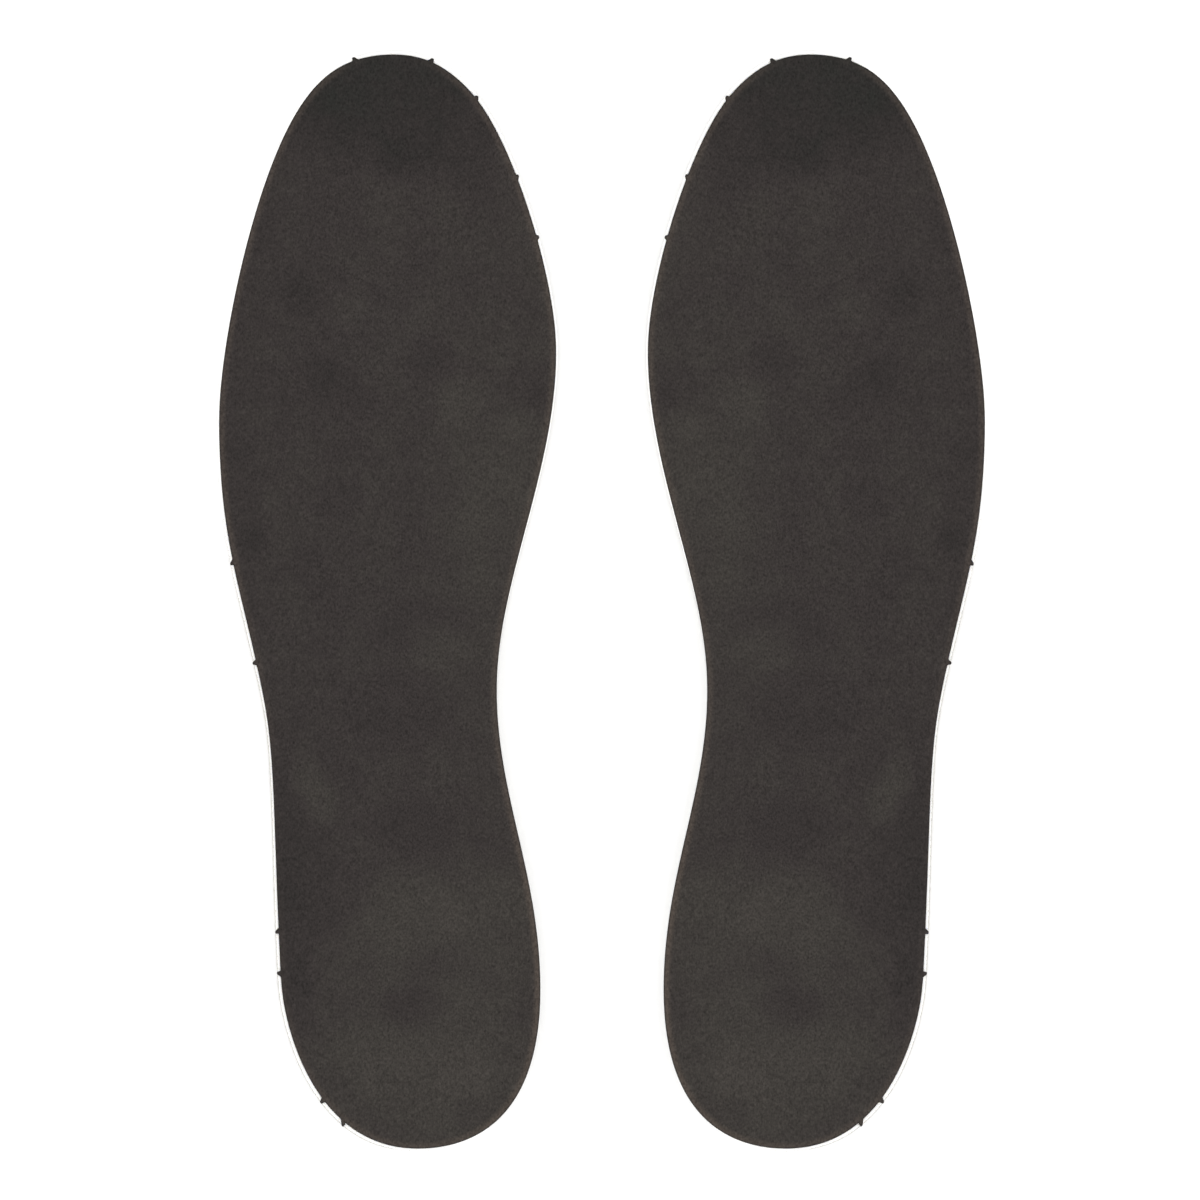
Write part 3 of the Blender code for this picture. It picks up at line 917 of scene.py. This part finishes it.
def build_foam(side, material, shape, settings):
    """One foam bed: its top follows the relief, and its underside has the pads' pockets. Its cut wall is
    rough with cells, hollow by half a sine wave, and leans in at the outer waist and heel, where the cut
    face shows from above."""
    ring = base_outline(side, shape)
    edge = edge_of(ring, settings.points)
    low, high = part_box(f"{side}_foam_bed")
    glue = low.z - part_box(f"{side}_base_sheet")[1].z
    fill = glue * shape.glue_fill / 2
    roll_in, roll_down = rounding(settings.edge_radius, settings.edge_radius, 5)
    along = foot_place(edge.points)[1]
    leaning = np.clip(0.7 + facing_outwards(edge), 0, 1) * hump((along - LEAN_END) / LEAN_FADE)
    lean = settings.wall_lean * leaning
    inner = disc_rows(edge.points - edge.outward * (settings.edge_radius + lean), FOAM_ROWS)
    rolled = edge.points - edge.outward * (roll_in[1:, None] + lean)
    top = np.concatenate([inner, rolled])
    drop = np.concatenate([np.zeros(len(inner)), roll_down[1:]])[:, None]
    upper = high.z - shape.arch_rise + fill + relief(top, shape) - drop

    floor = low.z - fill
    share = np.linspace(0, 1, FOAM_WALL_ROWS + 2)[1:-1, None]
    wall_height = upper[-1] + (floor - upper[-1]) * share
    hollow = settings.waist * np.sin(np.pi * share)
    cells = soft_hills(np.abs(edge.points.real) + 3 * wall_height, edge.points.imag, 1.6 * MM, 8)
    wall = edge.points - edge.outward * (hollow + lean * (1 - share) - settings.cell_height * cells)
    bottom = disc_rows(edge.points - edge.outward * BROKEN_EDGE, FOAM_UNDER_ROWS)[::-1]
    rings = np.concatenate([top, wall, bottom])
    heights = np.concatenate([upper, wall_height, np.full(bottom.shape, floor)])
    foam = shell(f"{side}_foam", rings, heights, material, side)

    # How open the cut face is: none on the skin, full on the wall, half on the underside. The rounded top
    # edge is a little
    #     darker than full where the wall leans, at the outer waist and heel, as painted shade of that
    #     edge, and it is kept nearly as pale as the skin elsewhere.
    rows = [np.zeros(len(inner)), [0.75, 1.1, 1.1, 1.1], np.ones(len(wall)), np.full(len(bottom), 0.5)]
    cut = np.repeat(np.concatenate(rows)[:, None], len(edge.points), axis=1)
    cut[len(inner) : len(top)] *= 0.15 + 0.85 * leaning
    give_attribute(foam, "cut", np.concatenate([cut.ravel(), [0, 0.5]]))
    cut_pockets(foam, side)
    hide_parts(f"{side}_foam_bed")


class INSOLE_OT_foam_beds(bpy.types.Operator):
    """Builds the two latex foam beds"""

    bl_idname = "insole.foam_beds"
    bl_label = "Foam Beds"

    def execute(self, context):
        scene = context.scene
        material = latex_foam(scene.insole_foam)
        for side in SIDES:
            build_foam(side, material, scene.insole_shape, scene.insole_foam)
        return {"FINISHED"}


# -------------------- pads


DIMPLE_FADE_ROWS = 8


def build_pad(side, name, material, settings):
    """One cushioning pad, with dimples moulded into its top as the product of two cosine waves, which
    fades out near the rim."""
    node = f"{side}_{name}"
    rings, heights = pad_rings(node, settings.points, settings.edge_radius)
    across, along = foot_place(rings)
    turn = np.pi / settings.dimple_pitch
    dimples = np.clip(np.cos(across * turn) * np.cos(along * turn), 0, 1) ** 2
    row = np.arange(len(rings))[:, None]
    on_top = (row < PAD_TOP_ROWS) * hump((row - PAD_TOP_ROWS + DIMPLE_FADE_ROWS) / DIMPLE_FADE_ROWS)
    heights -= settings.dimple_depth * dimples * on_top
    pad = shell(f"{side}_{name}_rubber", rings, heights, material, side)
    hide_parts(node)


class INSOLE_OT_pads(bpy.types.Operator):
    """Builds the heel, arch and forefoot pads"""

    bl_idname = "insole.pads"
    bl_label = "Pads"

    def execute(self, context):
        material = cushion_rubber(context.scene.insole_pads)
        for side in SIDES:
            for name in PADS:
                build_pad(side, name, material, context.scene.insole_pads)
        return {"FINISHED"}


# -------------------- base sheets


DOT_SIDES = 12
BASE_ROWS = 8
BASE_RADIUS_IN, BASE_RADIUS_DOWN = 0.15 * MM, 0.12 * MM


def dot_middles(ring, settings):
    """The middles of the grip dots: a lattice of rows, every other one shifted by half a pitch, kept
    where it lies inside the outline less its margin."""
    reach = max(np.ptp(ring.real), np.ptp(ring.imag)) / 2
    steps = int(reach / settings.dot_pitch) + 2
    row, place = np.meshgrid(np.arange(-steps, steps + 1), np.arange(-steps, steps + 1), indexing="ij")
    shifted = (place + 0.5 * (row % 2)) * settings.dot_pitch
    lattice = shifted + 1j * row * settings.dot_pitch * np.sqrt(3) / 2
    middles = lattice.ravel() + ring_middle(ring)
    edge = edge_of(ring, 400)
    return middles[inside(edge.points - edge.outward * settings.dot_margin, middles)]


def build_dots(side, ring, sheet_bottom, material, settings):
    """The grip dots of one base sheet in one piece. Each is a low dome: a short wall let into the sheet,
    two slopes, and a lid at either end."""
    corner = np.arange(DOT_SIDES)
    turn = np.exp(2j * np.pi * corner / DOT_SIDES)
    radii = np.array([1.0, 1.0, 0.72, 0.3]) * settings.dot_radius
    depth = np.array([-0.1 * MM, 0, 0.75 * settings.dot_height, settings.dot_height])
    rings = (radii[:, None] * turn).ravel()
    heights = np.repeat(sheet_bottom - depth, DOT_SIDES)
    middles = dot_middles(ring, settings)
    places = middles[:, None] + rings
    points = np.stack([places.real, places.imag, np.broadcast_to(heights, places.shape)], -1)
    starts = np.arange(len(middles))[:, None, None] * len(rings)
    walls = (row_quads(len(radii), DOT_SIDES) + starts).reshape(-1, 4).tolist()
    caps = np.stack([corner, (len(radii) - 1) * DOT_SIDES + corner[::-1]])
    lids = (caps + starts).reshape(-1, DOT_SIDES).tolist()
    dots = new_object(f"{side}_grip_dots", points.reshape(-1, 3), walls + lids, material, side)
    return dots


def build_base(side, fleece, rubber, shape, settings):
    """One base sheet of fleece with grip dots under it. Its rounded edge is slightly fuzzy, because soft
    hills move it out and in."""
    ring = base_outline(side, shape)
    edge = edge_of(ring, settings.points)
    low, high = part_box(f"{side}_base_sheet")
    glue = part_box(f"{side}_foam_bed")[0].z - high.z
    top_height = high.z + glue * shape.glue_fill / 2
    bottom_height = low.z + settings.dot_height
    roll_in, roll_down = rounding(BASE_RADIUS_IN, BASE_RADIUS_DOWN, 4)
    inner = disc_rows(edge.points - edge.outward * BASE_RADIUS_IN, BASE_ROWS)
    top = np.concatenate([inner, edge.points - edge.outward * roll_in[1:, None]])
    heights = np.concatenate([np.zeros(len(inner)), roll_down[1:]])
    across, along = foot_place(edge.points)
    fuzz = 0.04 * MM * soft_hills(across, along, 2.2 * MM, 6)
    top[len(inner) - 1 :] += edge.outward * fuzz
    rings = np.concatenate([top, top[::-1]])
    heights = np.concatenate([top_height - heights, (bottom_height + heights)[::-1]])
    heights = np.broadcast_to(heights[:, None], rings.shape)
    base = shell(f"{side}_base_fleece", rings, heights, fleece, side)
    dots = build_dots(side, ring, bottom_height, rubber, settings)
    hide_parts(f"{side}_base_sheet")
    ring_area(ring)


class INSOLE_OT_base_sheets(bpy.types.Operator):
    """Builds the two base sheets with their grip dots"""

    bl_idname = "insole.base_sheets"
    bl_label = "Base Sheets"

    def execute(self, context):
        scene = context.scene
        fleece = pressed_fleece(scene.insole_base)
        rubber = printed_rubber(scene.insole_base)
        for side in SIDES:
            build_base(side, fleece, rubber, scene.insole_shape, scene.insole_base)
        return {"FINISHED"}


# -------------------- stage


def build_floor(settings):
    """A square sheet of white paper under the insoles."""
    half = settings.floor_side / 2
    corners = [(-half, -half, 0), (half, -half, 0), (half, half, 0), (-half, half, 0)]
    mesh = bpy.data.meshes.new("floor")
    mesh.from_pydata(corners, [], [(0, 1, 2, 3)])
    mesh.materials.append(studio_paper(settings))
    floor = bpy.data.objects.new("floor", mesh)
    bpy.context.scene.collection.objects.link(floor)


SOFTBOX_SIDE = 1.0
SOFTBOX_PLACE = (1.5, -0.3, 1.5)


def build_light(settings):
    """Even white light from all round, and a large softbox at either side to model the nap."""
    world = bpy.data.worlds.new("studio")
    world.use_nodes = True
    background = world.node_tree.nodes["Background"]
    background.inputs["Color"].default_value = (1, 1, 1, 1)
    background.inputs["Strength"].default_value = settings.sky
    bpy.context.scene.world = world
    for name, sideways in (("softbox_left", -1), ("softbox_right", 1)):
        lamp = bpy.data.lights.new(name, "AREA")
        lamp.shape = "SQUARE"
        lamp.size = SOFTBOX_SIDE
        lamp.energy = settings.key_power
        softbox = bpy.data.objects.new(name, lamp)
        softbox.location = (sideways * SOFTBOX_PLACE[0], *SOFTBOX_PLACE[1:])
        softbox.rotation_euler = (-softbox.location).to_track_quat("-Z", "Y").to_euler()
        bpy.context.scene.collection.objects.link(softbox)


def build_camera(settings):
    """A camera with a long lens that looks straight down, toes up in its picture."""
    lens = bpy.data.cameras.new("camera")
    lens.lens = settings.lens
    middle = (CAD_BOX[0] + CAD_BOX[1]) / 2
    low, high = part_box("left_top_cover")
    cover_height = (low.z + high.z) / 2
    away = settings.seen_width * settings.lens / lens.sensor_width
    camera = bpy.data.objects.new("camera", lens)
    camera.location = (middle.x + settings.look_right, middle.y + settings.look_up, cover_height + away)
    bpy.context.scene.collection.objects.link(camera)
    bpy.context.scene.camera = camera


class INSOLE_OT_stage(bpy.types.Operator):
    """Builds the floor, the studio light and the camera"""

    bl_idname = "insole.stage"
    bl_label = "Stage"

    def execute(self, context):
        settings = context.scene.insole_stage
        build_floor(settings)
        build_light(settings)
        build_camera(settings)
        context.scene.view_settings.view_transform = "Standard"
        return {"FINISHED"}


# -------------------- the add-on


class INSOLE_PT_panel(bpy.types.Panel):
    """Lists the makers of the insoles' pieces with their settings"""

    bl_label = "Cushioned Insoles"
    bl_idname = "INSOLE_PT_panel"
    bl_space_type = "VIEW_3D"
    bl_region_type = "UI"
    bl_category = "Insoles"

    def draw(self, context):
        for name, group in SETTINGS.items():
            column = self.layout.column(align=True)
            if name in MAKERS:
                column.operator(MAKERS[name].bl_idname)
            for setting in group.__annotations__:
                column.prop(getattr(context.scene, name), setting)


SETTINGS = {
    "insole_shape": InsoleShape,
    "insole_cover": CoverSettings,
    "insole_foam": FoamSettings,
    "insole_pads": PadSettings,
    "insole_base": BaseSettings,
    "insole_stage": StageSettings,
}
MAKERS = {
    "insole_cover": INSOLE_OT_covers,
    "insole_foam": INSOLE_OT_foam_beds,
    "insole_pads": INSOLE_OT_pads,
    "insole_base": INSOLE_OT_base_sheets,
    "insole_stage": INSOLE_OT_stage,
}
CLASSES = (*SETTINGS.values(), *MAKERS.values(), INSOLE_PT_panel)


def register():
    for each in CLASSES:
        bpy.utils.register_class(each)
    for name, group in SETTINGS.items():
        setattr(bpy.types.Scene, name, PointerProperty(type=group))


def unregister():
    for name in SETTINGS:
        delattr(bpy.types.Scene, name)
    for each in reversed(CLASSES):
        bpy.utils.unregister_class(each)


def main():
    register()
    bpy.ops.insole.base_sheets()
    bpy.ops.insole.foam_beds()
    bpy.ops.insole.pads()
    bpy.ops.insole.covers()
    bpy.ops.insole.stage()


if __name__ == "__main__":
    main()
